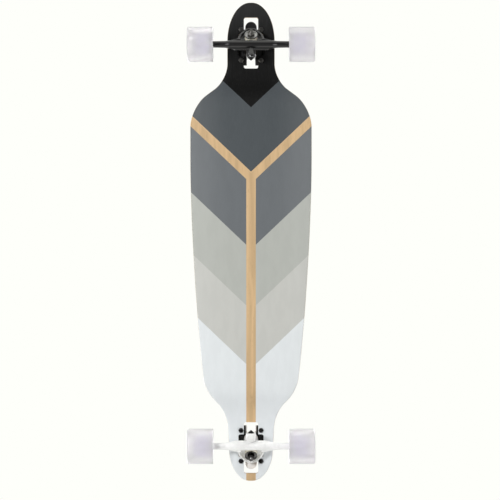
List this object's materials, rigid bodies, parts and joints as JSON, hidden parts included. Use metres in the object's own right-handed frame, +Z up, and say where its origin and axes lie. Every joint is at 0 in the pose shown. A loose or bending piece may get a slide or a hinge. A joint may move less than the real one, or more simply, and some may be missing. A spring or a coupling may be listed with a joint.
{
  "type": "longboard skateboard",
  "caption": "Drop-through longboard skateboard: banded wooden deck, sprung reverse-kingpin trucks that steer, and translucent urethane wheels on ball bearings.",
  "frame": {"origin": "on the floor under the middle of the board", "axes": "+X along the board to the nose, +Y to the rider's left when facing the nose, +Z up"},
  "size_m": [0.99, 0.262, 0.1018],
  "materials": {
    "deck_wood": "satin",
    "grip": "matte",
    "black_paint": "gloss",
    "white_paint": "gloss",
    "steel": "satin",
    "black_steel": "satin",
    "bearing_steel": "polished",
    "bearing_shield": "satin",
    "cage_steel": "satin",
    "black_rubber": "matte",
    "bushing": "satin",
    "urethane": "satin",
    "core_plastic": "satin"
  },
  "bodies": {
    "deck": {"deck": "deck_wood", "grip_tape": "grip", "front_mounting_bolts": "black_steel", "front_mounting_nuts": "black_steel", "front_riser_pad": "black_rubber", "front_baseplate": "black_paint", "front_pivot_cup": "black_rubber", "front_boardside_bushing": "bushing", "front_roadside_bushing": "bushing", "front_boardside_washer": "steel", "front_roadside_washer": "steel", "front_kingpin_nut": "steel", "front_kingpin": "steel", "rear_mounting_bolts": "black_steel", "rear_mounting_nuts": "black_steel", "rear_riser_pad": "black_rubber", "rear_baseplate": "white_paint", "rear_pivot_cup": "black_rubber", "rear_boardside_bushing": "bushing", "rear_roadside_bushing": "bushing", "rear_boardside_washer": "black_steel", "rear_roadside_washer": "black_steel", "rear_kingpin_nut": "black_steel", "rear_kingpin": "black_steel"},
    "front_hanger": {"front_hanger": "black_paint", "front_axle": "steel", "front_axle_nuts": "steel", "front_speed_rings": "steel", "front_bearing_spacers": "steel", "front_bearing_inner_rings": "bearing_steel"},
    "rear_hanger": {"rear_hanger": "white_paint", "rear_axle": "steel", "rear_axle_nuts": "steel", "rear_speed_rings": "steel", "rear_bearing_spacers": "steel", "rear_bearing_inner_rings": "bearing_steel"},
    "front_left_wheel": {"front_left_tyre": "urethane", "front_left_core": "core_plastic", "front_left_bearing_outer_rings": "bearing_steel", "front_left_bearing_shields": "bearing_shield"},
    "front_left_cage": {"front_left_bearing_balls": "bearing_steel", "front_left_bearing_cages": "cage_steel"},
    "front_right_wheel": {"front_right_tyre": "urethane", "front_right_core": "core_plastic", "front_right_bearing_outer_rings": "bearing_steel", "front_right_bearing_shields": "bearing_shield"},
    "front_right_cage": {"front_right_bearing_balls": "bearing_steel", "front_right_bearing_cages": "cage_steel"},
    "rear_left_wheel": {"rear_left_tyre": "urethane", "rear_left_core": "core_plastic", "rear_left_bearing_outer_rings": "bearing_steel", "rear_left_bearing_shields": "bearing_shield"},
    "rear_left_cage": {"rear_left_bearing_balls": "bearing_steel", "rear_left_bearing_cages": "cage_steel"},
    "rear_right_wheel": {"rear_right_tyre": "urethane", "rear_right_core": "core_plastic", "rear_right_bearing_outer_rings": "bearing_steel", "rear_right_bearing_shields": "bearing_shield"},
    "rear_right_cage": {"rear_right_bearing_balls": "bearing_steel", "rear_right_bearing_cages": "cage_steel"}
  },
  "joints": [
    {"name": "front_steer", "type": "hinge", "parent": "deck", "child": "front_hanger", "pos_m": [0.416, 0, 0.061], "axis": [0.7071, 0, 0.7071], "range_deg": [-17, 17], "stiffness_Nm_per_rad": 80, "deforming": ["front_boardside_bushing", "front_roadside_bushing"]},
    {"name": "rear_steer", "type": "hinge", "parent": "deck", "child": "rear_hanger", "pos_m": [-0.431, 0, 0.061], "axis": [-0.7071, 0, 0.7071], "range_deg": [-17, 17], "stiffness_Nm_per_rad": 80, "deforming": ["rear_boardside_bushing", "rear_roadside_bushing"]},
    {"name": "front_left_wheel_spin", "type": "hinge", "parent": "front_hanger", "child": "front_left_wheel", "pos_m": [0.404, 0.1, 0.036], "axis": [0, 1, 0], "continuous": true},
    {"name": "front_left_cage_spin", "type": "hinge", "parent": "front_hanger", "child": "front_left_cage", "pos_m": [0.404, 0.1, 0.036], "axis": [0, 1, 0], "continuous": true},
    {"name": "front_right_wheel_spin", "type": "hinge", "parent": "front_hanger", "child": "front_right_wheel", "pos_m": [0.404, -0.1, 0.036], "axis": [0, 1, 0], "continuous": true},
    {"name": "front_right_cage_spin", "type": "hinge", "parent": "front_hanger", "child": "front_right_cage", "pos_m": [0.404, -0.1, 0.036], "axis": [0, 1, 0], "continuous": true},
    {"name": "rear_left_wheel_spin", "type": "hinge", "parent": "rear_hanger", "child": "rear_left_wheel", "pos_m": [-0.419, 0.1, 0.036], "axis": [0, 1, 0], "continuous": true},
    {"name": "rear_left_cage_spin", "type": "hinge", "parent": "rear_hanger", "child": "rear_left_cage", "pos_m": [-0.419, 0.1, 0.036], "axis": [0, 1, 0], "continuous": true},
    {"name": "rear_right_wheel_spin", "type": "hinge", "parent": "rear_hanger", "child": "rear_right_wheel", "pos_m": [-0.419, -0.1, 0.036], "axis": [0, 1, 0], "continuous": true},
    {"name": "rear_right_cage_spin", "type": "hinge", "parent": "rear_hanger", "child": "rear_right_cage", "pos_m": [-0.419, -0.1, 0.036], "axis": [0, 1, 0], "continuous": true}
  ],
  "couplings": [
    {"joint": "front_left_cage_spin", "follows": "front_left_wheel_spin", "ratio": 0.63233},
    {"joint": "front_right_cage_spin", "follows": "front_right_wheel_spin", "ratio": 0.63233},
    {"joint": "rear_left_cage_spin", "follows": "rear_left_wheel_spin", "ratio": 0.63233},
    {"joint": "rear_right_cage_spin", "follows": "rear_right_wheel_spin", "ratio": 0.63233}
  ]
}
